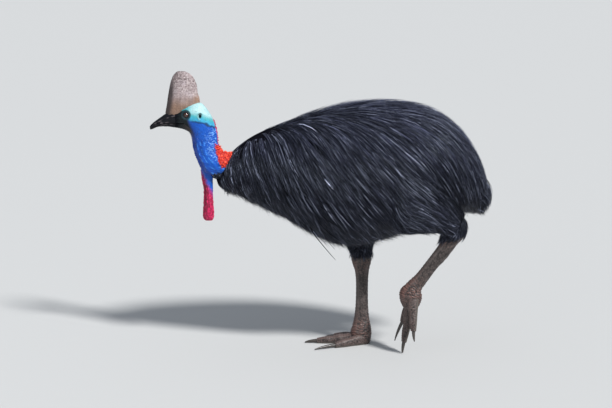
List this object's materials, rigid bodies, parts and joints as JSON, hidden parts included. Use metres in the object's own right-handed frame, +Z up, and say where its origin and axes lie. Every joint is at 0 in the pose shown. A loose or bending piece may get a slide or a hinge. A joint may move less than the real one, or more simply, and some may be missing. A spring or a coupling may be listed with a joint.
{
  "type": "southern cassowary",
  "caption": "Life-size still southern cassowary in mid stride, one foot raised on its toe tip, with casque, wattles and drooping hair-like plumage.",
  "frame": {"origin": "on the ground under the middle of the bird's whole length and breadth", "axes": "+Z up, -X the way the bird faces, -Y its left side"},
  "size_m": [1.2869, 0.4287, 1.063],
  "materials": {
    "head_skin": "satin bare skin, pale turquoise behind the eye and dark grey-green before it",
    "neck_skin": "satin bare skin, cobalt blue with paler granules at the back",
    "caruncle": "wrinkled bare skin, orange-red",
    "wattle": "wrinkled bare skin, crimson, blue at the top",
    "casque": "matt pitted horn, pinkish grey-brown",
    "bill": "smooth horn, blackish grey",
    "eye": "wet and glossy, red-brown iris with a black pupil",
    "plumage": "hair-like feathers, black with a faint blue sheen",
    "quill": "smooth bare feather shafts, black",
    "leg_skin": "scaly bare skin, grey-brown",
    "claw": "smooth horn, blackish brown"
  },
  "bodies": {
    "root": {"bill_lower": "bill", "bill_upper": "bill", "breast": "plumage", "casque": "casque", "claw_left_inner": "claw", "claw_left_middle": "claw", "claw_left_outer": "claw", "claw_right_inner": "claw", "claw_right_middle": "claw", "claw_right_outer": "claw", "eye_left": "eye", "eye_right": "eye", "head": "head_skin", "neck": "neck_skin", "neck_caruncle": "caruncle", "shank_left": "leg_skin", "shank_right": "leg_skin", "tail": "plumage", "thigh_left": "plumage", "thigh_right": "plumage", "toe_left_inner": "leg_skin", "toe_left_middle": "leg_skin", "toe_left_outer": "leg_skin", "toe_right_inner": "leg_skin", "toe_right_middle": "leg_skin", "toe_right_outer": "leg_skin", "torso": "plumage", "wattle_left": "wattle", "wattle_right": "wattle", "wing_left": "quill", "wing_right": "quill"}
  },
  "joints": []
}
